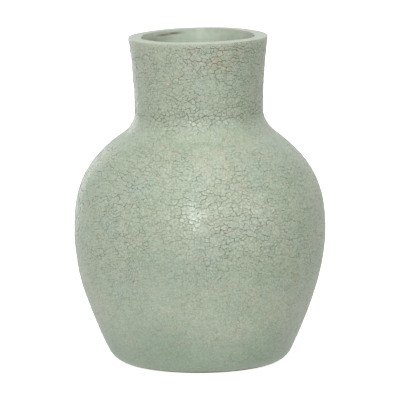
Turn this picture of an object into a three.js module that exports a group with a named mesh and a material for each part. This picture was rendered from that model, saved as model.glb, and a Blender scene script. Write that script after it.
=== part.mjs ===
// A round-bellied pottery vase with a wide neck, a thick flat lip and a turned foot.
// A clay body and a clay neck meet in a level joint at the crease above the shoulder.
// Two coats of glaze cover the clay: a crackled coat outside, and a smooth coat inside
// that wraps over the lip. The neck leans a little to -X.
// Millimetres, +Z up, front towards -Y. The origin is the centre of the foot's resting plane.

import * as THREE from 'three';

// ---- Driving dimensions ----

const HEIGHT = 150;
const BELLY_RADIUS = 57.66;
const BELLY_HEIGHT = 60;
const FOOT_RADIUS = 32.8;
const FOOT_CORNER_RADIUS = 10.46;
const WALL_LEAN_AT_FOOT = THREE.MathUtils.degToRad(27.2);
const SHOULDER_RADIUS = 35.1;
const SHOULDER_HEIGHT = 105.4;
const SHOULDER_LEAN = THREE.MathUtils.degToRad(54.8);
const JOINT_RADIUS = 29.3;
const JOINT_HEIGHT = 115.2;
const LIP_RADIUS = 31.85;
const LIP_SKIRT_HEIGHT = 1.8;
const LIP_FLARE = THREE.MathUtils.degToRad(5);
const LIP_OUTER_ROUNDING = 0.9;
const LIP_INNER_ROUNDING = 1.2;

const WALL = 6;
const GLAZE = 0.7;
const GAP = 0.3;
const CLAY_OUTSIDE = GLAZE + GAP;
const CLAY_INSIDE = WALL - GLAZE - GAP;
const CLAY_LIP_ROUNDING = 0.3;

const FOOT_RING_INNER_RADIUS = 26.6;
const FOOT_RECESS_DEPTH = 1.2;
const FOOT_RECESS_SLOPE = 1;
const GLAZE_END = THREE.MathUtils.degToRad(30);
const BARE_CLAY_END = THREE.MathUtils.degToRad(34);
const BARE_CLAY_HANDLE = 2.2;

const NECK_LEAN = THREE.MathUtils.degToRad(0.85);
const LEAN_START = 100;
const LEAN_END = 116;

const SEGMENTS = 40;
const STEPS = { corner: 4, belly: 4, shoulder: 6, crease: 4, neck: 3, edge: 2, foot: 3 };

// ---- Finishes ----

const CLAY = { color: '#8d7358', roughness: 0.9, metalness: 0 };
const CRACKLE_GLAZE = { color: '#a8b59d', roughness: 0.5, metalness: 0 };
const SMOOTH_GLAZE = { color: '#b4c4ac', roughness: 0.35, metalness: 0 };

// ---- Outline of the glazed outside, as a radius and a height, from the foot to the lip ----

const quarterTurn = Math.PI / 2;
const cornerSweep = quarterTurn - WALL_LEAN_AT_FOOT;

function bezier(start, startHandle, endHandle, end) {
  // A handle is a lean from upright, positive outward, and a length.
  const [startLean, startLength] = startHandle;
  const [endLean, endLength] = endHandle;
  const first = new THREE.Vector2(
    start[0] + Math.sin(startLean) * startLength,
    start[1] + Math.cos(startLean) * startLength,
  );
  const second = new THREE.Vector2(
    end[0] - Math.sin(endLean) * endLength,
    end[1] - Math.cos(endLean) * endLength,
  );
  return new THREE.CubicBezierCurve(new THREE.Vector2(...start), first, second, new THREE.Vector2(...end));
}

const cornerTop = [
  FOOT_RADIUS + FOOT_CORNER_RADIUS * Math.cos(WALL_LEAN_AT_FOOT),
  FOOT_CORNER_RADIUS - FOOT_CORNER_RADIUS * Math.sin(WALL_LEAN_AT_FOOT),
];
const bellyTop = [BELLY_RADIUS, BELLY_HEIGHT];
const shoulderTop = [SHOULDER_RADIUS, SHOULDER_HEIGHT];
const jointEdge = [JOINT_RADIUS, JOINT_HEIGHT];
const neckTop = [
  LIP_RADIUS - Math.tan(LIP_FLARE) * (LIP_SKIRT_HEIGHT - LIP_OUTER_ROUNDING),
  HEIGHT - LIP_SKIRT_HEIGHT,
];

const outline = {
  corner: new THREE.EllipseCurve(
    FOOT_RADIUS, FOOT_CORNER_RADIUS, FOOT_CORNER_RADIUS, FOOT_CORNER_RADIUS,
    -quarterTurn, -WALL_LEAN_AT_FOOT, false,
  ),
  belly: bezier(cornerTop, [WALL_LEAN_AT_FOOT, 11.2], [0, 19.8], bellyTop),
  shoulder: bezier(bellyTop, [0, 14.3], [-SHOULDER_LEAN, 26], shoulderTop),
  crease: bezier(shoulderTop, [-SHOULDER_LEAN, 3.6], [0, 3.4], jointEdge),
  neck: bezier(jointEdge, [0, 16], [LIP_FLARE, 4], neckTop),
};

// ---- Shaping functions ----

function wallPoints(name, depth, from = 0, to = 1) {
  // Points along one stretch of the outline, moved into the wall by a depth.
  const curve = outline[name];
  const points = [];
  for (let step = 0; step <= STEPS[name]; step += 1) {
    const along = from + ((to - from) * step) / STEPS[name];
    const point = curve.getPointAt(along);
    const tangent = curve.getTangentAt(along);
    points.push(new THREE.Vector2(point.x - tangent.y * depth, point.y + tangent.x * depth));
  }
  return points;
}

function bodyWall(depth, cornerStart = 0) {
  return [
    ...wallPoints('corner', depth, cornerStart),
    ...wallPoints('belly', depth),
    ...wallPoints('shoulder', depth),
    ...wallPoints('crease', depth),
  ];
}

function roundedEdge(radius, height, rounding, startAngle, endAngle) {
  // An arc about (radius, height), as points from its start angle to its end angle.
  const clockwise = endAngle < startAngle;
  const arc = new THREE.EllipseCurve(radius, height, rounding, rounding, startAngle, endAngle, clockwise);
  return arc.getPoints(STEPS.edge);
}

function leanNeck(geometry) {
  // Turns everything above the shoulder about the centre of the joint, easing in from the shoulder.
  const position = geometry.attributes.position;
  for (let index = 0; index < position.count; index += 1) {
    const x = position.getX(index);
    const z = position.getZ(index);
    const angle = NECK_LEAN * THREE.MathUtils.smoothstep(z, LEAN_START, LEAN_END);
    const rise = z - JOINT_HEIGHT;
    position.setX(index, x * Math.cos(angle) - rise * Math.sin(angle));
    position.setZ(index, JOINT_HEIGHT + x * Math.sin(angle) + rise * Math.cos(angle));
  }
}

function turnedPiece(name, profile, finish) {
  // A solid of revolution about +Z. Its profile is a radius and a height at each point.
  const shortest = 0.01;
  const points = profile.filter(
    (point, index) => index === 0 || point.distanceTo(profile[index - 1]) > shortest,
  );
  const geometry = new THREE.LatheGeometry(points, SEGMENTS);
  geometry.rotateX(quarterTurn);
  leanNeck(geometry);
  const piece = new THREE.Mesh(geometry, new THREE.MeshStandardMaterial(finish));
  piece.name = name;
  return piece;
}

// ---- Clay ----

function clayBody() {
  // The floor, the foot ring, the belly and the shoulder, up to the joint.
  const bareEnd = wallPoints('corner', CLAY_OUTSIDE, BARE_CLAY_END / cornerSweep)[0];
  const footCurve = new THREE.CubicBezierCurve(
    new THREE.Vector2(FOOT_RADIUS, 0),
    new THREE.Vector2(FOOT_RADIUS + BARE_CLAY_HANDLE, 0),
    new THREE.Vector2(
      bareEnd.x - Math.cos(BARE_CLAY_END) * BARE_CLAY_HANDLE,
      bareEnd.y - Math.sin(BARE_CLAY_END) * BARE_CLAY_HANDLE,
    ),
    bareEnd,
  );
  const outside = bodyWall(CLAY_OUTSIDE, BARE_CLAY_END / cornerSweep);
  const inside = bodyWall(CLAY_INSIDE);
  const rim = JOINT_HEIGHT - GAP / 2;
  outside.at(-1).y = rim;
  inside.at(-1).y = rim;
  return turnedPiece('clay_body', [
    new THREE.Vector2(0, FOOT_RECESS_DEPTH),
    new THREE.Vector2(FOOT_RING_INNER_RADIUS - FOOT_RECESS_SLOPE, FOOT_RECESS_DEPTH),
    new THREE.Vector2(FOOT_RING_INNER_RADIUS, 0),
    ...footCurve.getPoints(STEPS.foot),
    ...outside,
    ...inside.reverse(),
    new THREE.Vector2(0, CLAY_INSIDE),
  ], CLAY);
}

function clayNeck() {
  // The collar between the joint and the lip.
  const top = HEIGHT - CLAY_OUTSIDE;
  const outside = wallPoints('neck', CLAY_OUTSIDE);
  const inside = wallPoints('neck', CLAY_INSIDE);
  const foot = JOINT_HEIGHT + GAP / 2;
  outside[0].y = foot;
  inside[0].y = foot;
  const edgeHeight = top - CLAY_LIP_ROUNDING;
  const outerEdge = outside.at(-1).x - CLAY_LIP_ROUNDING;
  const innerEdge = inside.at(-1).x + CLAY_LIP_ROUNDING;
  return turnedPiece('clay_neck', [
    ...outside,
    ...roundedEdge(outerEdge, edgeHeight, CLAY_LIP_ROUNDING, 0, quarterTurn),
    ...roundedEdge(innerEdge, edgeHeight, CLAY_LIP_ROUNDING, quarterTurn, 2 * quarterTurn),
    ...inside.reverse(),
    outside[0].clone(),
  ], CLAY);
}

// ---- Glaze ----

function crackleGlazeCoat() {
  // Over the outside, from just above the foot to just under the lip.
  const cornerStart = GLAZE_END / cornerSweep;
  const outside = [...bodyWall(0, cornerStart), ...wallPoints('neck', 0)];
  const inside = [...bodyWall(GLAZE, cornerStart), ...wallPoints('neck', GLAZE)];
  return turnedPiece('crackle_glaze_coat', [
    ...outside,
    ...inside.reverse(),
    outside[0].clone(),
  ], CRACKLE_GLAZE);
}

function lipPoints(depth, skirtFoot) {
  // Across the lip from the bore to the outside, at a depth below its surface.
  const top = HEIGHT - depth;
  const bore = wallPoints('neck', WALL - depth).at(-1).x;
  const innerRounding = LIP_INNER_ROUNDING - depth;
  const outerRounding = LIP_OUTER_ROUNDING - depth;
  const outside = LIP_RADIUS - depth;
  return [
    ...roundedEdge(bore + innerRounding, top - innerRounding, innerRounding, 2 * quarterTurn, quarterTurn),
    ...roundedEdge(outside - outerRounding, top - outerRounding, outerRounding, quarterTurn, 0),
    new THREE.Vector2(outside, skirtFoot),
  ];
}

function smoothGlazeLining() {
  // Over the floor, the cavity and the bore, and across the lip to a short skirt outside.
  const skirtFoot = HEIGHT - LIP_SKIRT_HEIGHT + GAP;
  const exposed = [...bodyWall(WALL), ...wallPoints('neck', WALL), ...lipPoints(0, skirtFoot)];
  const backed = [
    ...bodyWall(WALL - GLAZE),
    ...wallPoints('neck', WALL - GLAZE),
    ...lipPoints(GLAZE, skirtFoot),
  ];
  return turnedPiece('smooth_glaze_lining', [
    new THREE.Vector2(0, WALL - GLAZE),
    ...backed,
    ...exposed.reverse(),
    new THREE.Vector2(0, WALL),
  ], SMOOTH_GLAZE);
}

// ---- The vase ----

const vase = new THREE.Group();
vase.add(clayBody(), clayNeck(), crackleGlazeCoat(), smoothGlazeLining());

export default vase;
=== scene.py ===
import math

import bpy
import numpy as np
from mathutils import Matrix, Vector, kdtree, noise
from mathutils.geometry import delaunay_2d_cdt


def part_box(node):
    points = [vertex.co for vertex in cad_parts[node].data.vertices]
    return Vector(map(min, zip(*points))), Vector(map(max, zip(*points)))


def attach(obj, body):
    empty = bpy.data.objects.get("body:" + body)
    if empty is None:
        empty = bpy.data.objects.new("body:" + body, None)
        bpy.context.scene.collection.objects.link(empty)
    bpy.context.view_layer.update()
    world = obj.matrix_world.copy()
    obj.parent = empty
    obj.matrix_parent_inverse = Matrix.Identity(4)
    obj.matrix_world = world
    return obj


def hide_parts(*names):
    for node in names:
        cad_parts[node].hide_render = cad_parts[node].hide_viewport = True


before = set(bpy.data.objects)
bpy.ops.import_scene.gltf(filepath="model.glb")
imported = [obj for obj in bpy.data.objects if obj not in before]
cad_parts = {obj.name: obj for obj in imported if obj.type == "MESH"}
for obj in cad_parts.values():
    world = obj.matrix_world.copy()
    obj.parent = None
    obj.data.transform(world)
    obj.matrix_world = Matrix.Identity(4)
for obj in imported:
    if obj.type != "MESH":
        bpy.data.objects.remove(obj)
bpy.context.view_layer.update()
coat_low, coat_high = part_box("crackle_glaze_coat")

MM = 0.001
DEG = math.pi / 180
TURN = 2 * math.pi

# ---- Outline of the glazed outside, as a radius and a height in metres ----

HEIGHT = 150 * MM
FOOT_RADIUS = 32.8 * MM
FOOT_CORNER_RADIUS = 10.46 * MM
WALL_LEAN_AT_FOOT = 27.2 * DEG
BELLY = ((coat_high.x - coat_low.x) / 2, 60 * MM)
SHOULDER = (35.1 * MM, 105.4 * MM)
SHOULDER_LEAN = 54.8 * DEG
JOINT = (29.3 * MM, 115.2 * MM)
LIP_RADIUS = 31.85 * MM
LIP_SKIRT_HEIGHT = 0.45 * MM
LIP_FLARE = 5 * DEG
LIP_OUTER_ROUNDING = 0.35 * MM
LIP_INNER_ROUNDING = 0.9 * MM
LIP_THICKENING = 0.4 * MM
LEAST_ROUNDING = 0.05 * MM
WALL = 6 * MM
GLAZE = 0.7 * MM
UNDER_GLAZE = GLAZE + 0.05 * MM
GLAZE_END = 27 * DEG
NECK_LEAN = 0.85 * DEG
LEAN_HEIGHTS = (100 * MM, 116 * MM)
LIP_RISE = 0.15
LIP_HEIGHTS = (138 * MM, 149 * MM)
OUTLINE_STEP = 0.25 * MM
# The waves grow over this height above the foot, and over this radius from the axis.
WAVE_HEIGHT = 12 * MM
WAVE_RADIUS = 20 * MM
GLAZE_LINE_HEIGHT = 6 * MM

# Lengths of the handles at the lower and the upper end of each stretch above the foot's corner.
BELLY_HANDLES = (11.2 * MM, 19.8 * MM)
SHOULDER_HANDLES = (14.3 * MM, 26 * MM)
CREASE_HANDLES = (3.6 * MM, 3.4 * MM)
NECK_HANDLES = (16 * MM, 4 * MM)

# Waves round the pot: how many, turn, the height over which they drift, and amount in millimetres.
WALL_WAVES = [(2, 1.1, 46 * MM, 0.16), (3, -0.7, -31 * MM, 0.10), (5, 2.9, 17 * MM, 0.07)]
LIP_WAVES = [(2, math.pi / 2, math.inf, 0.22), (3, 0.6, math.inf, 0.06), (7, 2, math.inf, 0.04)]
GLAZE_LINE_WAVES = [(3, 0.4, math.inf, 0.28), (7, 2, math.inf, 0.2), (13, 0, math.inf, 0.14)]

# ---- Foot and lining ----

FOOT_RING_INNER_RADIUS = 26.6 * MM
FOOT_RING_ROUNDING = 0.8 * MM
FOOT_RECESS_DEPTH = 1.2 * MM
FINE_BORE = 8 * MM
COLUMNS = 112
# Rings left by throwing inside and by turning under the foot, as spacing and depth.
THROWING_RINGS = (5.2 * MM, 0.11 * MM)
TURNING_RINGS = (2.1 * MM, 0.07 * MM)

# ---- Crackle ----

SEED = 7
NOISE_SEED = 11
CELL_SPACING = 1.92 * MM
CELL_SPREAD = (0.55, 1.4)
CELL_GROWTH = 0.8
GROWTH_FADE = (0.3, 0.9)
CELL_TRIES = 90000
CELL_WIDENING = 1.4
SIDE_STEP = 1.5 * MM
SHORTEST_SIDE = 0.2 * MM
PLATE_SPACING = 6.5 * MM
PLATE_SPREAD = (0.7, 1.3)
PLATE_TRIES = 6000
CLOSED_SHARE = 0.48
EDGE_OPENING = 0.25
FINE_OPENING = (0.2, 0.65)
PLATE_OPENING = (0.6, 1.0)
LEVEL_OPENING = (0.9, 1.4)
LEVEL_BREAK = -0.9
EDGE_HOLD = 1.5 * MM
STRENGTH_LIMITS = (0.04, 1.5)
CRACK_HALF_WIDTH = (0.05 * MM, 0.13 * MM)
# The first depth is reached at SHALLOW_OPEN, and the second grows up to DEEP_OPEN.
CRACK_DEPTH = (0.05 * MM, 0.15 * MM)
SHALLOW_OPEN = 0.25
DEEP_OPEN = 1.3
FLAKE_TILT = 0.035
FLAKE_LIFT = 0.05 * MM
FLAKE_DOME = 0.02 * MM
FLAKE_SHOULDER = 0.04
BEVEL_SHARE = 0.3
STEEPEST_BEVEL = 1.6
BEVEL_TOP_SHARE = 0.6
SHARPEST_CORNER = 0.6
SKIN_COLUMNS = 96
SKIN_ROWS = 40
SKIN_FLAKE = 0.5

# The bake layer: its left margin and width, the foot and height of the outside and of the hidden strip,
# and the room that cells across the seam at the back need, in radians.
BAKE_MARGIN = 0.01
BAKE_WIDTH = 0.98
BAKE_OUTSIDE = (0.01, 0.90)
BAKE_HIDDEN = (0.93, 0.06)
BAKE_TURN_ROOM = 0.12

# Noise as feature sizes and amounts: in the cracks' strength, the plates' edges and the cells' sides.
STRENGTH_NOISE = [(13 * MM, 0.35), (5 * MM, 0.3)]
PLATE_WANDER = (7 * MM, 2.5)
SIDE_WIGGLES = [(0.9 * MM, 0.5), (3.5 * MM, 0.7)]

# How open the cracks are by height in millimetres, from 0 for closed to 1.
CRACK_BY_HEIGHT = [
    (0, 0.38), (10, 0.50), (28, 0.62), (44, 0.75), (58, 0.95), (84, 1.0), (97, 0.85),
    (105, 0.60), (110, 0.70), (114, 1.15), (128, 1.05), (142, 1.15), (147, 1.0), (150, 0.7),
]
# Patches with more or less crackle: degrees from the front, height, size and change.
CRACK_PATCHES = [
    (18, 68, 16, 0.3), (-42, 96, 15, 0.25), (10, 131, 7, -0.5), (-64, 122, 14, -0.3),
    (78, 70, 20, -0.1), (50, 55, 18, 0.2), (-42, 66, 15, 0.15), (48, 128, 13, 0.25),
    (-20, 30, 18, -0.12), (150, 80, 24, 0.35), (-145, 60, 22, 0.3), (-14, 49, 13, -0.35),
    (22, 142, 11, 0.75),
]
# Patches where more of the fine cracks are open: degrees from the front, height, size and how much more.
FINE_PATCHES = [
    (-46, 90, 22, 0.75), (-10, 76, 16, 0.5), (30, 92, 20, 0.4), (-20, 126, 16, 0.3),
]
# Long cracks that keep to a level: height, wander, first and last degree from the front, strength.
LEVEL_CRACKS = [
    (116.2, 1.3, -180, 180, 1.2), (119.6, 1.2, 12, 80, 0.8), (123.5, 1.2, -30, 40, 0.7),
    (129.0, 1.0, -50, -5, 0.7), (132.5, 1.2, 5, 60, 0.7), (141.9, 1.0, -12, 36, 1.5),
    (145.2, 0.8, 2, 60, 0.8), (146.9, 0.6, -6, 48, 1.5), (69.5, 1.2, 6, 30, 0.8),
    (64.0, 1.5, 10, 38, 0.7),
]
# Iron stain beside the cracks: degrees from the front, height, size and strength.
RUST_PATCHES = [
    (-2, 147, 2.2, 1.0), (20, 147, 2.2, 1.0), (38, 147, 2.2, 1.0), (2, 142, 2.6, 1.0),
    (14, 141.6, 3.8, 1.0), (27, 139.5, 2.4, 1.0), (32, 143.5, 3.2, 1.0), (32, 117.2, 2.4, 1.0),
    (14, 69.5, 2.2, 1.0), (-150, 120, 7, 1.0),
]
# Patches of painted shade, darker where light falls less on the body: degrees from the front, height, size
# and strength.
PAINTED_SHADE_PATCHES = [
    (-18, 17, 10, 1.0), (-15, 49, 13, 1.0), (-72, 84, 9, 0.7), (66, 92, 8, 0.7),
]
# How far the left side stands out of round: height, size and amount.
LEFT_SWELLS = [
    (60, 60, 0.24), (38, 9, 0.40), (88, 11, 0.22), (126, 9, -0.20), (143, 9, -0.55),
]
# Stains and painted shade inside: degrees from the front, spread, depth below the lip, thickness and
# strength. The strong ones are brown stains, and the weak ones are grey-green painted shade.
STAINS_AND_SHADE = [
    (-153, 10, 1.35, 0.6, 1.0), (-140, 11, 1.8, 0.65, 0.9), (-124, 18, 4.0, 2.6, 0.55),
    (-140, 16, 3.4, 1.2, 0.35), (118, 14, 3.5, 2.0, 0.25), (142, 12, 3.0, 1.8, 0.2),
]

# ---- Studio ----

DARK_SIDE_TURN = 80 * DEG
# Degrees to the left of the front and above level, distance, width and height, watts, height aimed at.
LIGHTS = [
    ("key", 4, 15, 1.4, (0.38, 0.38), 4.8, 0.08),
    ("strip", -50, 15, 1.3, (0.7, 0.9), 3.8, 0.07),
    ("left_edge", 152, 6, 1.2, (0.3, 0.6), 0.8, 0.05),
    ("top_light", 10, 65, 1.2, (0.9, 0.9), 2.6, 0.05),
]


def srgb(red, green, blue):
    """A linear colour from the 0 to 255 values that a screen shows."""
    def linear(value):
        value /= 255
        return value / 12.92 if value <= 0.04045 else ((value + 0.055) / 1.055) ** 2.4
    return (linear(red), linear(green), linear(blue), 1.0)


def smoothstep(value, low, high):
    """0 below low, 1 above high, and a smooth ramp between."""
    t = np.clip((np.asarray(value, float) - low) / (high - low), 0, 1)
    return t * t * (3 - 2 * t)


def unit(vectors):
    """The same vectors at length 1."""
    return vectors / np.maximum(np.linalg.norm(vectors, axis=-1, keepdims=True), 1e-12)


def wrapped(angle):
    """The same angle between minus and plus half a turn."""
    return (np.asarray(angle) + math.pi) % TURN - math.pi


def with_next(ring):
    """Each member of a ring and the one after it."""
    return zip(ring, ring[1:] + ring[:1])


# ---- The outline and the surface that it turns ----


def bezier(start, start_lean, end_lean, end, handles, count=120):
    """Points of one stretch after its start. The leans are from upright, and positive outward."""
    start, end = np.array(start), np.array(end)
    first = start + handles[0] * np.array([math.sin(start_lean), math.cos(start_lean)])
    second = end - handles[1] * np.array([math.sin(end_lean), math.cos(end_lean)])
    t = np.linspace(0, 1, count)[1:, None]
    return (
        (1 - t) ** 3 * start + 3 * (1 - t) ** 2 * t * first
        + 3 * (1 - t) * t ** 2 * second + t ** 3 * end
    )


def evened(points, step):
    """The same line with points an even step apart, and the length along it at each."""
    lengths = np.linalg.norm(np.diff(points, axis=0), axis=1)
    along = np.concatenate([[0], np.cumsum(lengths)])
    even = np.linspace(0, along[-1], max(2, round(along[-1] / step) + 1))
    return even, np.stack([np.interp(even, along, points[:, k]) for k in (0, 1)], 1)


def arc(centre, radius, start, end, count=60):
    """Points of an arc from one angle to another."""
    angles = np.linspace(start, end, count)
    return np.stack([centre[0] + radius * np.cos(angles), centre[1] + radius * np.sin(angles)], 1)


def outline_stretches():
    """The glazed outside from the foot's resting edge to the lip's skirt."""
    corner = arc((FOOT_RADIUS, FOOT_CORNER_RADIUS), FOOT_CORNER_RADIUS, -math.pi / 2, -WALL_LEAN_AT_FOOT)
    skirt = LIP_SKIRT_HEIGHT - LIP_OUTER_ROUNDING
    neck_top = (LIP_RADIUS - math.tan(LIP_FLARE) * skirt, HEIGHT - LIP_SKIRT_HEIGHT)
    return np.vstack([
        corner,
        bezier(corner[-1], WALL_LEAN_AT_FOOT, 0, BELLY, BELLY_HANDLES),
        bezier(BELLY, 0, -SHOULDER_LEAN, SHOULDER, SHOULDER_HANDLES),
        bezier(SHOULDER, -SHOULDER_LEAN, 0, JOINT, CREASE_HANDLES),
        bezier(JOINT, 0, LIP_FLARE, neck_top, NECK_HANDLES),
    ])


ALONG, OUTLINE = evened(outline_stretches(), OUTLINE_STEP)
SLOPE = unit(np.gradient(OUTLINE, ALONG, axis=0))
OUTWARD = np.stack([SLOPE[:, 1], -SLOPE[:, 0]], 1)
COAT_START = FOOT_CORNER_RADIUS * GLAZE_END
# Equal steps of WRAP and of the angle cover equal lengths on the surface, so cells keep their shape.
WRAP = np.concatenate([[0], np.cumsum(np.diff(ALONG) * 2 / (OUTLINE[1:, 0] + OUTLINE[:-1, 0]))])
WRAP_START = float(np.interp(COAT_START, ALONG, WRAP))
WRAP_END = float(WRAP[-1])
JOINT_ALONG = float(np.interp(JOINT[1], OUTLINE[:, 1], ALONG))


def radius_at(along):
    """The outline's radius at a length along it."""
    return np.interp(along, ALONG, OUTLINE[:, 0])


def height_at(along):
    """The outline's height at a length along it."""
    return np.interp(along, ALONG, OUTLINE[:, 1])


def waves(table, angle, height):
    """The sum of a table's waves at an angle and a height, in millimetres."""
    return sum(
        amount * np.sin(count * angle + turn + height / drift)
        for count, turn, drift, amount in table
    )


def turned(angle, radius, height):
    """Points round the axis, with the hand-made unevenness and the neck's lean. Angle 0 is the front."""
    angle, radius, height = np.broadcast_arrays(angle, radius, height)
    wave = waves(WALL_WAVES, angle, height)
    to_left = np.clip(-np.sin(angle), 0, 1) ** 2
    for level, size, amount in LEFT_SWELLS:
        wave = wave + to_left * amount * np.exp(-((height - level * MM) / (size * MM)) ** 2)
    reach = smoothstep(height, 0, WAVE_HEIGHT) * np.clip(radius / WAVE_RADIUS, 0, 1)
    radius = radius + wave * reach * MM
    sway = LIP_RISE + waves(LIP_WAVES, angle, height)
    height = height + sway * MM * smoothstep(height, *LIP_HEIGHTS)
    x = radius * np.sin(angle)
    lean = NECK_LEAN * smoothstep(height, *LEAN_HEIGHTS)
    rise = height - JOINT[1]
    return np.stack([
        x * np.cos(lean) - rise * np.sin(lean),
        -radius * np.cos(angle),
        JOINT[1] + x * np.sin(lean) + rise * np.cos(lean),
    ], -1)


def glaze_line(angle, along):
    """Lets the coat's lower edge wander a little, as it does where a pot is wiped by hand."""
    drift = waves(GLAZE_LINE_WAVES, angle, along)
    return along + drift * MM * (1 - smoothstep(along, COAT_START, COAT_START + GLAZE_LINE_HEIGHT))


def coat_point(angle, along, depth=0.0):
    """Points a depth below the glazed outside."""
    along = glaze_line(angle, along)
    radius = radius_at(along) - depth * np.interp(along, ALONG, OUTWARD[:, 0])
    height = height_at(along) - depth * np.interp(along, ALONG, OUTWARD[:, 1])
    return turned(angle, radius, height)


def coat_axes(angle, along):
    """Unit vectors on the glazed outside: round the pot to the right, up it, and out of it."""
    step = 0.2 * MM
    turn = step / radius_at(along)
    right = unit(coat_point(angle + turn, along) - coat_point(angle - turn, along))
    up = unit(coat_point(angle, along + step) - coat_point(angle, along - step))
    return right, up, unit(np.cross(right, up))


# ---- Meshes ----


def linked(name, data):
    """A new object in the scene."""
    item = bpy.data.objects.new(name, data)
    bpy.context.scene.collection.objects.link(item)
    return item


def mesh_object(name, vertices, faces, material):
    """A new object with one mesh and one material."""
    mesh = bpy.data.meshes.new(name)
    mesh.from_pydata(vertices, [], faces)
    mesh.materials.append(material)
    return linked(name, mesh)


def read_values(items, name, kind=float, width=1):
    """One property of every item, as an array."""
    values = np.empty(len(items) * width, kind)
    items.foreach_get(name, values)
    return values


def write_values(mesh, name, values, domain="POINT"):
    """Keeps one value for each point or face in a mesh."""
    mesh.attributes.new(name, "FLOAT", domain).data.foreach_set("value", np.asarray(values, float))


def turned_piece(name, profile, columns, material, ripple=None):
    """A closed solid turned from a profile that starts and ends on the axis, or closes on itself."""
    profile = np.asarray(profile)
    on_axis = profile[0][0] == 0 and profile[-1][0] == 0
    rows = profile[1:-1] if on_axis else profile
    angles = np.arange(columns) * TURN / columns
    radius, height = rows[:, :1], rows[:, 1:]
    if ripple:
        radius, height = ripple(angles[None], radius, height)
    points = turned(angles[None], radius, height).reshape(-1, 3)
    faces = []
    count = len(rows)
    for low in range(count - 1 if on_axis else count):
        high = (low + 1) % count
        for column in range(columns):
            after = (column + 1) % columns
            faces.append((
                low * columns + column, low * columns + after,
                high * columns + after, high * columns + column,
            ))
    if on_axis:
        start, end = len(points), len(points) + 1
        points = np.vstack([points, [[0, 0, profile[0][1]], [0, 0, profile[-1][1]]]])
        top = (count - 1) * columns
        for column in range(columns):
            after = (column + 1) % columns
            faces.append((start, after, column))
            faces.append((end, top + column, top + after))
    piece = mesh_object(name, points, faces, material)
    piece.data.shade_smooth()
    piece.data.set_sharp_from_angle(angle=50 * DEG)
    return piece


# ---- The crackled coat ----


def scatter(spacing, spread, tries, rng, growth=0.0):
    """Places over the outside, as angles and lengths along the outline, kept a size apart."""
    area = np.concatenate([[0], np.cumsum(np.diff(ALONG) * (OUTLINE[1:, 0] + OUTLINE[:-1, 0]) / 2)])
    angle = rng.uniform(-math.pi, math.pi, tries)
    along = np.interp(rng.uniform(np.interp(COAT_START, ALONG, area), area[-1], tries), area, ALONG)
    size = spacing * rng.uniform(*spread, tries)
    place = coat_point(angle, along)
    size = size * (1 + growth * (1 - smoothstep(crack_strength(angle, along, place), *GROWTH_FADE)))
    reach = spacing * spread[1] * (1 + growth)
    place = place * (1, 1, CELL_WIDENING)
    block = np.floor(place / reach).astype(int)
    kept = []
    blocks = {}
    around = np.array(list(np.ndindex(3, 3, 3))) - 1
    for index in range(tries):
        home = block[index]
        near = [other for spot in (home + around).tolist() for other in blocks.get(tuple(spot), ())]
        if near:
            away = np.linalg.norm(place[near] - place[index], axis=1)
            if np.any(away < (size[near] + size[index]) / 2):
                continue
        kept.append(index)
        blocks.setdefault(tuple(home.tolist()), []).append(index)
    return angle[kept], along[kept]


def patch_fields(patches, angle, along, squeeze=1.0):
    """Each patch's strength, fading out from its middle. A squeeze under 1 widens the patches."""
    height, radius = height_at(along), radius_at(along)
    for degrees, level, size, strength in patches:
        across = wrapped(angle - degrees * DEG) * radius * squeeze
        away = np.hypot(across, height - level * MM) / (size * MM)
        yield strength * np.exp(-away ** 2)


def crack_strength(angle, along, places):
    """How open the cracks are at each place."""
    strength = np.interp(height_at(along) / MM, *zip(*CRACK_BY_HEIGHT))
    for change in patch_fields(CRACK_PATCHES, angle, along):
        strength = strength + change
    uneven = 1
    for size, amount in STRENGTH_NOISE:
        uneven = uneven + amount * np.array([noise.noise(Vector(place) / size) for place in places])
    return np.clip(strength * uneven, *STRENGTH_LIMITS)


def patch_amount(patches, angle, along, squeeze=1.0):
    """The strongest patch at each place."""
    return np.max(list(patch_fields(patches, angle, along, squeeze)), axis=0)


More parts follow.
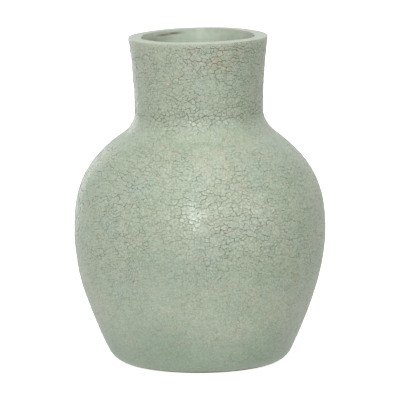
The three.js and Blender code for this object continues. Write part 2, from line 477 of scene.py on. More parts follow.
class Cells:
    """Voronoi cells of seeds on the outside, in angle and WRAP, with the corners and sides they share."""

    def __init__(self, angle, along, rng):
        self.angle = angle
        self.along = along
        self.wrap = np.interp(along, ALONG, WRAP)
        self.radius = radius_at(along)
        self.rng = rng
        self.side_ids = {}
        self.side_opening = {}
        self.edge_ids = ([], [])
        self.closed_share = CLOSED_SHARE * (1 - patch_amount(FINE_PATCHES, angle, along))
        self.find_plates()
        self.find_rings()

    def find_plates(self):
        """Puts each seed on a plate and on one side of each level crack."""
        place = coat_point(self.angle, self.along)
        plate_angle, plate_along = scatter(PLATE_SPACING, PLATE_SPREAD, PLATE_TRIES, self.rng)
        tree = kdtree.KDTree(len(plate_angle))
        for index, spot in enumerate(coat_point(plate_angle, plate_along)):
            tree.insert(spot, index)
        tree.balance()
        size, wander = PLATE_WANDER
        self.plate = []
        for spot in place:
            spot = Vector(spot)
            self.plate.append(tree.find(spot + noise.noise_vector(spot / size) * wander * MM)[1])
        height = height_at(self.along) / MM
        self.levels = []
        for level, wander, first, last, strength in LEVEL_CRACKS:
            drift = wander * (np.sin(5 * self.angle + level) + np.sin(11 * self.angle + 2 * level)) / 2
            degrees = self.angle / DEG
            inside = (degrees >= first) & (degrees <= last)
            self.levels.append((height > level + drift, inside, strength))

    def find_rings(self):
        """Each cell as a ring of corners, and the cell across each side, or -1 beyond the coat's edges."""
        seeds = np.stack([self.angle, self.wrap * CELL_WIDENING], 1)
        start, end = WRAP_START * CELL_WIDENING, WRAP_END * CELL_WIDENING
        margin = 0.5
        after = np.nonzero(self.angle < -math.pi + margin)[0]
        before = np.nonzero(self.angle > math.pi - margin)[0]
        points = np.vstack([seeds, seeds[after] + (TURN, 0), seeds[before] - (TURN, 0)])
        owner = np.concatenate([np.arange(len(seeds)), after, before])
        low = points[points[:, 1] < start + margin]
        high = points[points[:, 1] > end - margin]
        # Mirror images beyond both edges make sides that lie along them.
        points = np.vstack([points, low * (1, -1) + (0, 2 * start), high * (1, -1) + (0, 2 * end)])
        owner = np.concatenate([owner, np.full(len(low) + len(high), -1)])
        result = delaunay_2d_cdt([Vector(p) for p in points], [], [], 0, 1e-9)
        triangles = np.array([ids[0] for ids in result[3]])[np.array(result[2])]
        centres = self.circumcentres(points[triangles])
        corner_of = self.number_corners(centres)
        fans = [[] for _ in seeds]
        for index, triangle in enumerate(triangles):
            for vertex in triangle:
                if vertex < len(seeds):
                    fans[vertex].append(index)
        middles = points[triangles].mean(1)
        self.rings = []
        for seed, fan in enumerate(fans):
            spokes = middles[fan] - seeds[seed]
            fan = [fan[k] for k in np.argsort(np.arctan2(spokes[:, 1], spokes[:, 0]))]
            ring = []
            for here, following in with_next(fan):
                shared = set(triangles[here]) & set(triangles[following]) - {seed}
                ring.append((corner_of[here], int(owner[shared.pop()])))
            self.rings.append(ring)
        self.merge_short_sides()

    @staticmethod
    def circumcentres(corners):
        """Centre of the circle through each triangle's corners."""
        a, b, c = corners.transpose(1, 0, 2)
        (bx, by), (cx, cy) = (b - a).T, (c - a).T
        b_square, c_square = bx ** 2 + by ** 2, cx ** 2 + cy ** 2
        centre = np.stack([cy * b_square - by * c_square, bx * c_square - cx * b_square], 1)
        return centre / (2 * (bx * cy - by * cx))[:, None] + a

    def number_corners(self, centres):
        """Gives corners that are one point on the pot one number, and keeps their places."""
        numbers = {}
        self.places = []
        corner_of = []
        for x, y in centres:
            key = (round(float(x % TURN) * 1e6) % round(TURN * 1e6), round(float(y) * 1e6))
            if key not in numbers:
                numbers[key] = len(self.places)
                self.places.append((float(wrapped(x)), float(y) / CELL_WIDENING))
            corner_of.append(numbers[key])
        return corner_of

    def merge_short_sides(self):
        """Joins the corners of sides too short to matter."""
        leader = list(range(len(self.places)))

        def lead(corner):
            while leader[corner] != corner:
                corner = leader[corner]
            return corner

        for seed, ring in enumerate(self.rings):
            for (here, _), (following, _) in with_next(ring):
                if self.side_length(here, following, seed) < SHORTEST_SIDE:
                    kept, joined = sorted((lead(here), lead(following)), key=self.from_edge)
                    leader[joined] = kept
        for seed, ring in enumerate(self.rings):
            merged = [(lead(corner), other) for corner, other in ring]
            self.rings[seed] = [side for side, following in with_next(merged) if side[0] != following[0]]

    def from_edge(self, corner):
        """How far a corner is from the nearer edge of the coat, in WRAP."""
        wrap = self.places[corner][1]
        return min(wrap - WRAP_START, WRAP_END - wrap)

    def side_length(self, here, following, seed):
        """Length of a side on the pot."""
        (x0, y0), (x1, y1) = self.places[here], self.places[following]
        return math.hypot(float(wrapped(x1 - x0)), y1 - y0) * self.radius[seed]

    def opening(self, seed, other):
        """How open the crack between two cells is."""
        if other < 0:
            return EDGE_OPENING
        opening = self.rng.uniform(*FINE_OPENING)
        if self.rng.random() < self.closed_share[seed]:
            opening = 0.0
        if self.plate[seed] != self.plate[other]:
            opening = max(opening, self.rng.uniform(*PLATE_OPENING))
        for above, inside, strength in self.levels:
            if inside[seed] and inside[other] and above[seed] != above[other]:
                broken = math.sin(self.angle[seed] * 9) + math.sin(self.angle[seed] * 23 + 1)
                if broken > LEVEL_BREAK:
                    opening = max(opening, strength * self.rng.uniform(*LEVEL_OPENING))
        return opening

    def side(self, here, following, seed, other):
        """Numbers of the points along a side, made once and shared by the two cells."""
        key = (min(here, following), max(here, following))
        if key not in self.side_ids:
            (x0, y0), (x1, y1) = self.places[key[0]], self.places[key[1]]
            turn = float(wrapped(x1 - x0))
            steps = max(1, round(math.hypot(turn, y1 - y0) * self.radius[seed] / SIDE_STEP))
            start = len(self.places)
            for step in range(1, steps):
                x, y = x0 + turn * step / steps, y0 + (y1 - y0) * step / steps
                self.places.append((float(wrapped(x)), y))
            ids = [key[0], *range(start, len(self.places)), key[1]]
            self.side_ids[key] = ids
            self.side_opening[key] = self.opening(seed, other)
            if other < 0:
                self.edge_ids[0 if y0 + y1 < WRAP_START + WRAP_END else 1].extend(ids)
        ids = self.side_ids[key]
        return (ids if here == key[0] else ids[::-1]), self.side_opening[key]


def wiggled(places):
    """Moves the cells' corners and sides off straight lines, but keeps those on the coat's edges there."""
    angle, wrap = places[:, 0], places[:, 1]
    along = np.interp(wrap, WRAP, ALONG)
    right, up, _ = coat_axes(angle, along)
    spots = coat_point(angle, along)
    shift = 0
    for size, amount in SIDE_WIGGLES:
        shift = shift + np.array([noise.noise_vector(Vector(spot) / size) * amount * MM for spot in spots])
    radius = radius_at(along)
    from_edge = np.minimum(wrap - WRAP_START, WRAP_END - wrap) * radius
    hold = smoothstep(from_edge, 0, EDGE_HOLD)
    angle = angle + (shift * right).sum(1) / radius * hold
    wrap = wrap + (shift * up).sum(1) / radius * hold
    return wrapped(angle), wrap


def inset_ring(ring, width):
    """A closed ring moved inward by a width at each point, and the inward directions."""
    before, after = np.roll(ring, 1, 0), np.roll(ring, -1, 0)
    sides = unit(ring - before), unit(after - ring)
    first, second = [np.stack([-side[:, 1], side[:, 0]], 1) for side in sides]
    inward = unit(first + second)
    stretch = 1 / np.maximum((inward * first).sum(1), SHARPEST_CORNER)
    return ring + inward * (width * stretch)[:, None], inward


class CoatMesh:
    """Points, faces and their values, gathered before they become the coat's mesh."""

    def __init__(self):
        self.points = []
        self.faces = []
        self.flake = []
        self.loop_angle = []
        self.loop_slope = []

    def add_points(self, angle, wrap, depth, crack, edge):
        """Adds points and returns the number of the first."""
        start = len(self.points)
        self.points.extend(np.stack(np.broadcast_arrays(angle, wrap, depth, crack, edge), 1).tolist())
        return start

    def add_face(self, ids, angles, slopes, flake):
        """Adds a face with an unwrapped angle and a slope, to the right and up, at each of its corners."""
        self.faces.append(ids)
        self.loop_angle.extend(angles)
        self.loop_slope.extend(slopes)
        self.flake.append(flake)

    def drop_unused(self):
        """Leaves out the points that no face uses."""
        used = sorted({point for ids in self.faces for point in ids})
        number = {point: index for index, point in enumerate(used)}
        self.faces = [tuple(number[point] for point in ids) for ids in self.faces]
        self.points = [self.points[point] for point in used]


def flaked_cells(cells, rng):
    """Gives each cell a tilted, slightly domed flake with a bevel down to the crack round it."""
    for seed, ring in enumerate(cells.rings):
        for (here, other), (following, _) in with_next(ring):
            cells.side(here, following, seed, other)
    places = np.array(cells.places)
    angle, wrap = wiggled(places)
    along = np.interp(wrap, WRAP, ALONG)
    strength = crack_strength(angle, along, coat_point(angle, along))
    opening = np.zeros(len(places))
    for key, ids in cells.side_ids.items():
        opening[ids] = np.maximum(opening[ids], cells.side_opening[key])
    openness = opening * strength
    shallow, deep = CRACK_DEPTH
    depth = shallow * np.minimum(openness / SHALLOW_OPEN, 1) + deep * np.minimum(openness, DEEP_OPEN)
    coat = CoatMesh()
    coat.add_points(angle, wrap, depth, np.clip(openness, 0, 1), 1)
    for seed, ring in enumerate(cells.rings):
        ids, widths = [], []
        for (here, other), (following, _) in with_next(ring):
            side, side_open = cells.side(here, following, seed, other)
            ids.extend(side[:-1])
            widths.extend([side_open] * (len(side) - 1))
        widths = np.array(widths)
        widths = (widths + np.roll(widths, 1)) / 2 * strength[ids]
        width = CRACK_HALF_WIDTH[0] + CRACK_HALF_WIDTH[1] * widths
        add_flake(coat, cells, seed, ids, width, strength, rng)
    return coat


def add_flake(coat, cells, seed, ids, width, strength, rng):
    """Adds one cell's flake and bevel to the coat's mesh."""
    radius = cells.radius[seed]
    angle, wrap, depth = np.array([coat.points[i] for i in ids]).T[:3]
    turn = wrapped(angle - cells.angle[seed])
    rise = wrap - cells.wrap[seed]
    outer = np.stack([turn, rise], 1) * radius
    room = np.linalg.norm(outer - outer.mean(0), axis=1).min()
    width = np.minimum(width, BEVEL_SHARE * room)
    inner, inward = inset_ring(outer, width)
    middle = inner.mean(0)
    amount = float(np.mean(strength[ids]))
    tilt = rng.normal(0, FLAKE_TILT, 2) * amount
    lift = rng.uniform(-1, 1) * FLAKE_LIFT * amount
    dome = FLAKE_DOME * amount
    height = lift + (inner - middle) @ tilt
    shade = rng.uniform(0, 1)
    count = len(ids)
    flat = cells.angle[seed] + inner[:, 0] / radius
    start = coat.add_points(wrapped(flat), cells.wrap[seed] + inner[:, 1] / radius, -height, 0, 1)
    middle_angle = cells.angle[seed] + middle[0] / radius
    middle_wrap = cells.wrap[seed] + middle[1] / radius
    centre = coat.add_points([wrapped(middle_angle)], middle_wrap, -lift - dome, 0, 0)
    outward = -inward
    steep = np.clip((depth + height) / width, 0, STEEPEST_BEVEL)[:, None]
    top_slope = outward * FLAKE_SHOULDER * amount - tilt
    lip_slope = outward * steep * BEVEL_TOP_SHARE - tilt
    floor_slope = outward * steep
    outer_angle = cells.angle[seed] + turn
    for k in range(count):
        n = (k + 1) % count
        coat.add_face(
            (centre, start + k, start + n),
            (middle_angle, flat[k], flat[n]),
            (-tilt, top_slope[k], top_slope[n]),
            shade,
        )
        coat.add_face(
            (start + k, ids[k], ids[n], start + n),
            (flat[k], outer_angle[k], outer_angle[n], flat[n]),
            (lip_slope[k], floor_slope[k], floor_slope[n], lip_slope[n]),
            shade,
        )


def zip_rings(first, first_angle, second, second_angle):
    """Triangles between two rings of points that go round the pot, in the first ring's sense."""
    faces = []
    i = j = 0
    while i < len(first) or j < len(second):
        ahead = first_angle[i % len(first)] + TURN * (i // len(first))
        behind = second_angle[j % len(second)] + TURN * (j // len(second))
        a, b = first[i % len(first)], second[j % len(second)]
        if j >= len(second) or (i < len(first) and ahead <= behind):
            faces.append((a, first[(i + 1) % len(first)], b))
            i += 1
        else:
            faces.append((a, second[(j + 1) % len(second)], b))
            j += 1
    return faces


def close_coat(coat, cells):
    """Adds the coat's hidden inner skin and its two edges, so that it is one closed solid."""
    angles = np.linspace(-math.pi, math.pi, SKIN_COLUMNS, endpoint=False)
    alongs = np.linspace(COAT_START, ALONG[-1], SKIN_ROWS)
    wraps = np.interp(alongs, ALONG, WRAP)
    rows = []
    for wrap in wraps:
        start = coat.add_points(angles, wrap, GLAZE, 0, 0)
        rows.append(list(range(start, start + SKIN_COLUMNS)))
    flat = (0.0, 0.0)
    for low, high in zip(rows, rows[1:]):
        for k, n in zip(range(SKIN_COLUMNS), list(range(1, SKIN_COLUMNS)) + [0]):
            coat.add_face((low[n], low[k], high[k], high[n]), (None,) * 4, (flat,) * 4, SKIN_FLAKE)
    for which, row in ((0, rows[0]), (1, rows[-1])):
        edge = sorted(set(cells.edge_ids[which]), key=lambda i: coat.points[i][0])
        rings = [(row, angles), (edge, [coat.points[i][0] for i in edge])]
        first, second = rings if which == 0 else rings[::-1]
        for ids in zip_rings(*first, *second):
            coat.add_face(ids, (None,) * 3, (flat,) * 3, SKIN_FLAKE)


def build_coat(material):
    """The crackled coat as one mesh, with its values, its bake layer and its shading."""
    rng = np.random.default_rng(SEED)
    noise.seed_set(NOISE_SEED)
    cells = Cells(*scatter(CELL_SPACING, CELL_SPREAD, CELL_TRIES, rng, CELL_GROWTH), rng)
    coat = flaked_cells(cells, rng)
    outside_faces = len(coat.faces)
    close_coat(coat, cells)
    coat.drop_unused()
    angle, wrap, depth, crack, edge = np.array(coat.points).T
    along = np.interp(wrap, WRAP, ALONG)
    points = coat_point(angle, along, depth)
    piece = mesh_object("crackle_glaze", points, coat.faces, material)
    mesh = piece.data
    write_values(mesh, "crack", crack)
    write_values(mesh, "edge", edge)
    write_values(mesh, "rust", patch_amount(RUST_PATCHES, angle, along, squeeze=0.7))
    # Painted shade: how strongly each point is darkened by the shade patches.
    write_values(mesh, "painted_shade", patch_amount(PAINTED_SHADE_PATCHES, angle, along, squeeze=0.6))
    write_values(mesh, "wear", crack_strength(angle, along, coat_point(angle, along)))
    write_values(mesh, "flake", coat.flake, "FACE")
    loop_vertex = read_values(mesh.loops, "vertex_index", int)
    lay_out_bake(mesh, coat, loop_vertex, angle, along)
    shade_coat(mesh, coat, loop_vertex, angle, along, outside_faces)
    return piece


def lay_out_bake(mesh, coat, loop_vertex, angle, along):
    """Unrolls the outside over most of the bake layer, and the hidden faces over a strip above it."""
    across = np.array([np.nan if a is None else a for a in coat.loop_angle], float)
    hidden = np.isnan(across)
    across = (across + math.pi + BAKE_TURN_ROOM) / (TURN + 2 * BAKE_TURN_ROOM)
    across[hidden] = (angle[loop_vertex[hidden]] + math.pi) / TURN
    up = (along[loop_vertex] - COAT_START) / (ALONG[-1] - COAT_START)
    u = BAKE_MARGIN + BAKE_WIDTH * across
    foot, tall = BAKE_OUTSIDE
    hidden_foot, hidden_tall = BAKE_HIDDEN
    v = np.where(hidden, hidden_foot + hidden_tall * up, foot + tall * up)
    layer = mesh.uv_layers.new(name="OFBake")
    layer.data.foreach_set("uv", np.stack([u, v], 1).ravel())


def shade_coat(mesh, coat, loop_vertex, angle, along, outside_faces):
    """Sets each corner's shading normal from the smooth surface and the corner's own slope."""
    right, up, out = coat_axes(angle, along)
    slope = np.array([tuple(s) for s in coat.loop_slope], float)
    right, up, out = right[loop_vertex], up[loop_vertex], out[loop_vertex]
    normals = unit(out + slope[:, :1] * right + slope[:, 1:] * up)
    hidden_from = mesh.polygons[outside_faces].loop_start
    flat = np.array([polygon.normal for polygon in mesh.polygons[outside_faces:]], float)
    corners = read_values(mesh.polygons, "loop_total", int)[outside_faces:]
    normals[hidden_from:] = np.repeat(flat, corners, axis=0)
    mesh.shade_smooth()
    mesh.normals_split_custom_set(normals.tolist())


# ---- The smooth pieces ----


def wall(depth, first=0.0, last=None, step=2.4 * MM):
    """The outline moved a depth into the wall, going up. The wall is a little thicker under the lip."""
    last = ALONG[-1] if last is None else last
    along = np.linspace(first, last, max(2, round((last - first) / step)))
    radius, height = [np.interp(along, ALONG, OUTLINE[:, k] - depth * OUTWARD[:, k]) for k in (0, 1)]
    if depth > WALL / 2:
        radius = radius - LIP_THICKENING * smoothstep(height, *LIP_HEIGHTS)
    return np.stack([radius, height], 1)


def lip(depth, skirt_foot):
    """Across the lip from the bore to the outside, at a depth below its surface."""
    top = HEIGHT - depth
    bore = wall(WALL - depth)[-1][0]
    inner = max(LIP_INNER_ROUNDING - depth, LEAST_ROUNDING)
    outer = max(LIP_OUTER_ROUNDING - depth, LEAST_ROUNDING)
    outside = LIP_RADIUS - depth
    inner_edge = arc((bore + inner, top - inner), inner, math.pi, math.pi / 2, 8)
    outer_edge = arc((outside - outer, top - outer), outer, math.pi / 2, 0, 8)
    flat = np.linspace(inner_edge[-1], outer_edge[0], 6)[1:-1]
    skirt = np.linspace(outer_edge[-1], (outside, skirt_foot), 3)[1:]
    return np.vstack([inner_edge, flat, outer_edge, skirt])


def throwing_rings(angle, radius, height):
    """Shallow ridges that a potter's fingers leave inside."""
    spacing, depth = THROWING_RINGS
    climb = height / spacing + angle / TURN
    inside = 1 - smoothstep(height, HEIGHT - 12 * MM, HEIGHT - 4 * MM)
    ridge = depth * np.sin(TURN * climb) * inside * smoothstep(radius, 8 * MM, 20 * MM)
    return radius + ridge, height


def turning_rings(angle, radius, height):
    """Fine rings that the trimming tool leaves under the foot."""
    spacing, depth = TURNING_RINGS
    under = (1 - smoothstep(height, 1 * MM, 2 * MM)) * (1 - smoothstep(radius, 24 * MM, 26 * MM))
    ring = depth * np.sin(TURN * radius / spacing + angle)
    return radius, height + ring * under


def stain_and_shade_amount(angle, radius, height):
    """A brown stain that runs along the bore under the lip, at the back left, and weaker painted shade
    high on the inner wall at both ends.
    """
    amount = np.zeros(len(angle))
    for degrees, spread, below, thickness, strength in STAINS_AND_SHADE:
        across = wrapped(angle - degrees * DEG) / (spread * DEG)
        down = (HEIGHT - below * MM - height) / (thickness * MM)
        amount = np.maximum(amount, strength * np.exp(-across ** 2 - down ** 2))
    return amount * (radius < LIP_RADIUS - 3 * MM)


def build_lining(material):
    """The smooth glaze in the cavity and the bore and over the lip."""
    skirt_foot = HEIGHT - LIP_SKIRT_HEIGHT
    bore = ALONG[-1] - FINE_BORE
    fine, coarse = 0.4 * MM, 1.3 * MM
    profile = np.vstack([
        [(0, WALL - GLAZE)],
        wall(WALL - GLAZE),
        lip(GLAZE, skirt_foot),
        lip(0, skirt_foot)[::-1],
        wall(WALL, first=bore, step=fine)[::-1],
        wall(WALL, last=bore - fine, step=coarse)[::-1],
        [(r * MM, WALL) for r in range(30, -1, -3)],
    ])
    piece = turned_piece("smooth_glaze", profile, COLUMNS, material, throwing_rings)
    mesh = piece.data
    x, y, height = read_values(mesh.vertices, "co", width=3).reshape(-1, 3).T
    radius = np.hypot(x, y)
    angle = np.arctan2(x, -y)
    write_values(mesh, "lip_face", smoothstep(height, HEIGHT - 1.6 * MM, HEIGHT - 0.7 * MM))
    # Brown stain under the lip, and painted shade on the inner wall.
    write_values(mesh, "stain", stain_and_shade_amount(angle, radius, height))
    return piece


def build_clay_pot(material):
    """The clay from the foot ring to the joint."""
    rounding = FOOT_RING_ROUNDING
    recess = FOOT_RECESS_DEPTH
    profile = np.vstack([
        [(0, recess)],
        [(r * MM, recess) for r in np.arange(2, 25, 0.6)],
        arc((FOOT_RING_INNER_RADIUS + rounding, rounding), rounding, math.pi * 0.9, math.pi * 1.5, 6),
        wall(0, 0, COAT_START, 0.4 * MM),
        wall(UNDER_GLAZE, COAT_START + 0.3 * MM, JOINT_ALONG, 3 * MM),
        wall(WALL - UNDER_GLAZE, 0, JOINT_ALONG, 3 * MM)[::-1],
        [(0, WALL - UNDER_GLAZE)],
    ])
    return turned_piece("clay_pot", profile, COLUMNS, material, turning_rings)


def build_clay_collar(material):
    """The clay from the joint to the lip."""
    start = JOINT_ALONG + 0.1 * MM
    outside = wall(UNDER_GLAZE, start)
    inside = wall(WALL - UNDER_GLAZE, start)
    outside[-1][1] = inside[-1][1] = HEIGHT - UNDER_GLAZE
    return turned_piece("clay_collar", np.vstack([outside, inside[::-1]]), COLUMNS, material)


# ---- Materials ----


def feed(tree, node, inputs):
    """Links each of the inputs named, or sets it when its value isn't another node's output."""
    for name, value in inputs.items():
        if isinstance(value, bpy.types.NodeSocket):
            tree.links.new(value, node.inputs[name])
        else:
            node.inputs[name].default_value = value


def new_node(tree, kind, inputs=None, **settings):
    """A new shader node with some settings and inputs."""
    node = tree.nodes.new("ShaderNode" + kind)
    for name, value in settings.items():
        setattr(node, name, value)
    feed(tree, node, inputs or {})
    return node


def map_range(tree, value, low, high, to_low, to_high):
    """Maps a range smoothly onto another."""
    values = dict(enumerate((value, low, high, to_low, to_high)))
    return new_node(tree, "MapRange", values, interpolation_type="SMOOTHSTEP").outputs[0]


class Shader:
    """A material under construction."""

    def __init__(self, name):
        self.material = bpy.data.materials.new(name)
        self.material.use_nodes = True
        self.tree = self.material.node_tree
        self.surface = self.tree.nodes["Principled BSDF"]
        self.place = self.node("TexCoord").outputs["Object"]

    def node(self, kind, inputs=None, **settings):
        """A new node in this material."""
        return new_node(self.tree, kind, inputs, **settings)

    def noise(self, size, detail=2.0, roughness=0.5, shift=0.0, distortion=0.0):
        """Smooth noise about 0.5 with features of a size in metres."""
        place = self.node("Mapping", {"Location": (shift, shift * 0.7, shift * 1.3), "Vector": self.place})
        return self.node("TexNoise", {
            "Vector": place.outputs[0],
            "Scale": 1 / size,
            "Detail": detail,
            "Roughness": roughness,
            "Distortion": distortion,
        }).outputs[0]

    def hairlines(self, size, width):
        """Fine wiggly lines round cells of a size: 1 on a line and 0 off it."""
        wobble = self.node("TexNoise", {"Scale": 1 / (0.9 * size), "Detail": 2, "Vector": self.place})
        terms = {0: wobble.outputs["Color"], 1: (1.1 * size,) * 3, 2: self.place}
        shifted = self.node("VectorMath", terms, operation="MULTIPLY_ADD")
        spots = {"Scale": 1 / size, "Vector": shifted.outputs[0]}
        cells = self.node("TexVoronoi", spots, feature="DISTANCE_TO_EDGE")
        return self.ramp(cells.outputs["Distance"], 0.0, width, 1.0, 0.0)

    def height(self):
        """Height above the resting plane."""
        return self.node("SeparateXYZ", {0: self.place}).outputs["Z"]

    def attribute(self, name):
        """A value kept in the mesh."""
        return self.node("Attribute", attribute_name=name).outputs["Fac"]

    def ramp(self, value, low, high, to_low=0.0, to_high=1.0):
        """Maps a range smoothly onto another."""
        return map_range(self.tree, value, low, high, to_low, to_high)

    def math(self, operation, first, second):
        """One operation on two values."""
        return self.node("Math", {0: first, 1: second}, operation=operation).outputs[0]

    def times(self, first, second):
        """One value times another."""
        return self.math("MULTIPLY", first, second)

    def mix(self, amount, first, second, blend="MIX"):
        """A colour between two."""
        inputs = {0: amount, 6: first, 7: second}
        return self.node("Mix", inputs, data_type="RGBA", blend_type=blend).outputs[2]

    def tinted(self, color, field, low, high, most, tint):
        """A colour with up to a share of a tint where a field rises from low to high."""
        return self.mix(self.ramp(field, low, high, 0, most), color, srgb(*tint))

    def clouded(self, field, low, high, first, second):
        """One colour where a field is low, easing into another where it is high."""
        return self.mix(self.ramp(field, low, high), srgb(*first), srgb(*second))

    def bump(self, height, distance):
        """Fine relief, with its full depth in metres."""
        return self.node("Bump", {"Distance": distance, "Height": height}).outputs[0]

    def finish(self, inputs):
        """Sets the surface's inputs and returns the material."""
        feed(self.tree, self.surface, inputs)
        return self.material


def crackle_material():
    """Mottled sage glaze: green, blue-green and warm clouds, a shade to each flake, and dark cracks, with
    painted highlight on the flakes' rims and painted shade towards the foot and in patches.
    """
    s = Shader("crackle_glaze")
    names = ("crack", "edge", "flake", "wear", "rust", "painted_shade")
    crack, edge, flake, wear, rust, painted_shade = [s.attribute(name) for name in names]
    height = s.height()
    clouds = s.noise(26 * MM, 3, 0.55, shift=0.02)
    patches = s.noise(8 * MM, 3, 0.6, shift=0.11, distortion=0.4)
    cool = s.noise(15 * MM, 2, 0.5, shift=0.31)
    grain = s.noise(0.9 * MM, 3, 0.65, shift=0.5)
    ragged = s.ramp(s.noise(0.6 * MM, 1, 0.5, shift=0.4), 0.3, 0.7, 0.5, 1.5)
    hairlines = s.times(s.hairlines(1.4 * MM, 0.09), s.ramp(wear, 0.3, 1.0, 0.4, 0.75))
    color = s.clouded(clouds, 0.38, 0.62, (170, 180, 158), (160, 177, 153))
    color = s.tinted(color, cool, 0.5, 0.68, 0.5, (158, 178, 167))
    color = s.tinted(color, patches, 0.54, 0.70, 0.6, (182, 176, 155))
    color = s.tinted(color, grain, 0.4, 0.7, 0.42, (204, 210, 192))
    color = s.mix(s.times(flake, 0.18), color, srgb(132, 144, 122))
    # Painted highlight: paler towards each flake's rim, as raised edges catching light.
    color = s.mix(s.times(s.math("POWER", edge, 6.0), 0.2), color, srgb(210, 212, 194))
    color = s.tinted(color, height, 147.2 * MM, 149.4 * MM, 0.4, (190, 200, 180))
    color = s.mix(hairlines, color, srgb(116, 124, 100))
    stain = s.times(rust, s.ramp(crack, 0.0, 0.3, 0.25, 1.0))
    dark = s.mix(stain, srgb(98, 102, 78), srgb(106, 64, 32))
    color = s.mix(s.ramp(s.times(crack, ragged), 0.03, 0.7, 0, 0.85), color, dark)
    color = s.mix(s.times(rust, 0.07), color, srgb(158, 122, 94))
    # Painted shade: darker and cooler towards the foot, near the floor.
    color = s.mix(s.ramp(height, 4 * MM, 26 * MM, 1, 0), color, (0.74, 0.82, 0.79, 1), "MULTIPLY")
    color = s.mix(s.ramp(height, 108 * MM, 118 * MM), color, (0.96, 0.945, 0.955, 1), "MULTIPLY")
    # Painted shade: darker in the patches where light falls less on the body.
    color = s.mix(painted_shade, color, (0.84, 0.88, 0.875, 1), "MULTIPLY")
    relief = s.math("SUBTRACT", s.noise(0.8 * MM, 3, 0.6, shift=0.9), s.times(hairlines, 0.9))
    return s.finish({
        "Normal": s.bump(relief, 0.04 * MM),
        "Base Color": color,
        "Roughness": s.math("ADD", s.ramp(grain, 0.3, 0.7, 0.27, 0.36), s.ramp(crack, 0.05, 0.6, 0, 0.4)),
        "IOR": 1.75,
    })


def smooth_material():
    """Paler smooth glaze with faint clouds, a brown stain high on the inner wall, and painted shade beside
    it at both ends.
    """
    s = Shader("smooth_glaze")
    clouds = s.noise(22 * MM, 3, 0.55, shift=0.2)
    warm = s.noise(9 * MM, 2, 0.5, shift=0.4)
    fine = s.noise(2.0 * MM, 2, 0.5, shift=0.6)
    lip_face = s.attribute("lip_face")
    stain = s.attribute("stain")
    color = s.clouded(clouds, 0.35, 0.65, (188, 199, 181), (176, 192, 170))
    color = s.tinted(color, warm, 0.52, 0.7, 0.45, (192, 192, 174))
    pale = s.clouded(clouds, 0.35, 0.65, (180, 186, 170), (173, 184, 166))
    color = s.mix(lip_face, color, pale)
    color = s.tinted(color, fine, 0.35, 0.7, 0.2, (222, 226, 214))
    # Weak values give grey-green painted shade, and strong values a brown stain.
    color = s.mix(stain, color, s.clouded(stain, 0.4, 0.9, (108, 112, 86), (92, 68, 44)))
    return s.finish({
        "Normal": s.bump(s.noise(1.8 * MM, 2, 0.5, shift=0.8), 0.02 * MM),
        "Base Color": color,
        "Roughness": s.ramp(fine, 0.3, 0.7, 0.3, 0.4),
        "IOR": 1.5,
    })


def clay_material():
    """Bare fired clay with iron specks and a gritty surface."""
    s = Shader("clay")
    clouds = s.noise(14 * MM, 3, 0.6, shift=0.3)
    grit = s.noise(0.8 * MM, 3, 0.6, shift=0.5)
    specks = s.noise(1.4 * MM, 1, 0.5, shift=0.9)
    color = s.clouded(clouds, 0.35, 0.65, (128, 115, 92), (110, 101, 80))
    color = s.tinted(color, grit, 0.35, 0.7, 0.5, (144, 131, 108))
    color = s.tinted(color, specks, 0.66, 0.74, 0.8, (70, 46, 34))
    return s.finish({
        "Normal": s.bump(grit, 0.12 * MM),
        "Base Color": color,
        "Roughness": s.ramp(grit, 0.3, 0.7, 0.82, 0.95),
    })


def floor_material():
    """A matt white surface."""
    s = Shader("studio_white")
    tone = s.noise(0.6, 2, 0.5)
    color = s.clouded(tone, 0.3, 0.7, (240, 240, 240), (237, 237, 237))
    return s.finish({
        "Base Color": color,
        "Roughness": 0.95,
        "Emission Color": srgb(255, 255, 255),
        "Emission Strength": 0.8,
    })


# ---- The studio ----


def build_floor():
    """A wide level floor just below the resting plane, which casts no light back on the vase."""
    half = 6.0
    drop = -0.02 * MM
    corners = [(-half, -half, drop), (half, -half, drop), (half, half, drop), (-half, half, drop)]
    floor = mesh_object("floor", corners, [(0, 1, 2, 3)], floor_material())
    floor.visible_diffuse = False
    floor.visible_glossy = False


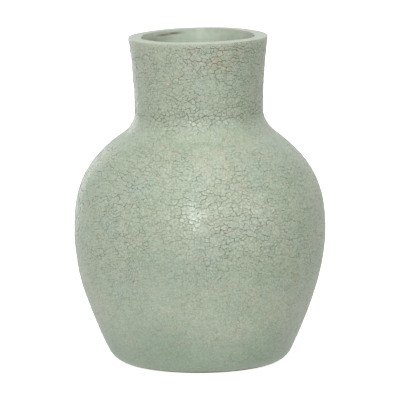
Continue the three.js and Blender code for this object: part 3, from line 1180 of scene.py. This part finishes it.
def build_world(sky_light, dark_side, below):
    """A white room: pure white behind the vase, and a softer light, weaker at its right and below."""
    world = bpy.data.worlds.new("studio")
    bpy.context.scene.world = world
    world.use_nodes = True
    tree = world.node_tree
    tree.nodes.clear()
    direction = new_node(tree, "TexCoord").outputs["Generated"]

    def leaning(towards, low, high, to_low, to_high):
        """A smooth factor of how far a direction leans one way."""
        lean = new_node(tree, "VectorMath", {0: direction, 1: towards}, operation="DOT_PRODUCT")
        return map_range(tree, lean.outputs["Value"], low, high, to_low, to_high)

    right = (math.sin(DARK_SIDE_TURN), -math.cos(DARK_SIDE_TURN), 0)
    side = leaning(right, 0.35, 0.95, sky_light, sky_light * dark_side)
    floor_side = leaning((0, 0, 1), -0.5, 0.2, below, 1)
    strength = new_node(tree, "Math", {0: side, 1: floor_side}, operation="MULTIPLY").outputs[0]
    white = (1, 1, 1, 1)
    lighting = new_node(tree, "Background", {"Color": white, "Strength": strength}).outputs[0]
    shown = new_node(tree, "Background", {"Color": white}).outputs[0]
    to_camera = new_node(tree, "LightPath").outputs["Is Camera Ray"]
    choice = new_node(tree, "MixShader", {0: to_camera, 1: lighting, 2: shown}).outputs[0]
    new_node(tree, "OutputWorld", {0: choice})


def facing(data, azimuth, elevation, distance, aim):
    """A light or camera that looks at a point, from degrees to the left of the front and above level."""
    level = math.cos(elevation * DEG)
    away = Vector((
        -math.sin(azimuth * DEG) * level,
        -math.cos(azimuth * DEG) * level,
        math.sin(elevation * DEG),
    ))
    item = linked(data.name, data)
    item.location = Vector(aim) + away * distance
    item.rotation_euler = away.to_track_quat("Z", "Y").to_euler()
    return item


def soft_light(name, azimuth, elevation, distance, size, watts, aim_height):
    """A rectangular soft light."""
    lamp = bpy.data.lights.new(name, "AREA")
    lamp.shape = "RECTANGLE"
    lamp.size, lamp.size_y = size
    lamp.energy = watts
    facing(lamp, azimuth, elevation, distance, (0, 0, aim_height)).visible_camera = False


def build_camera(elevation, distance, lens, aim, roll):
    """A long lens in front of the vase, a little above it."""
    lens_data = bpy.data.cameras.new("camera")
    lens_data.lens = lens
    lens_data.sensor_width = 36
    lens_data.clip_end = 20
    camera = facing(lens_data, 0, elevation, distance, aim)
    camera.rotation_euler.rotate_axis("Z", roll * DEG)
    bpy.context.scene.camera = camera


# ---- The vase in its studio ----

crackle_glaze = crackle_material()
smooth_glaze = smooth_material()
clay = clay_material()
pieces = [
    (build_coat(crackle_glaze), "crackle_glaze_coat", "crackle_glaze"),
    (build_lining(smooth_glaze), "smooth_glaze_lining", "smooth_glaze"),
    (build_clay_pot(clay), "clay_body", "clay"),
    (build_clay_collar(clay), "clay_neck", "clay"),
]
for piece, node, slot in pieces:
    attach(piece, "root")
    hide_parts(node)

build_floor()
build_world(sky_light=0.835, dark_side=0.34, below=0.93)
for light in LIGHTS:
    soft_light(*light)
build_camera(elevation=9, distance=2.066, lens=405, aim=(0.15 * MM, 0, 74.2 * MM), roll=-0.35)
bpy.context.scene.view_settings.view_transform = "Standard"
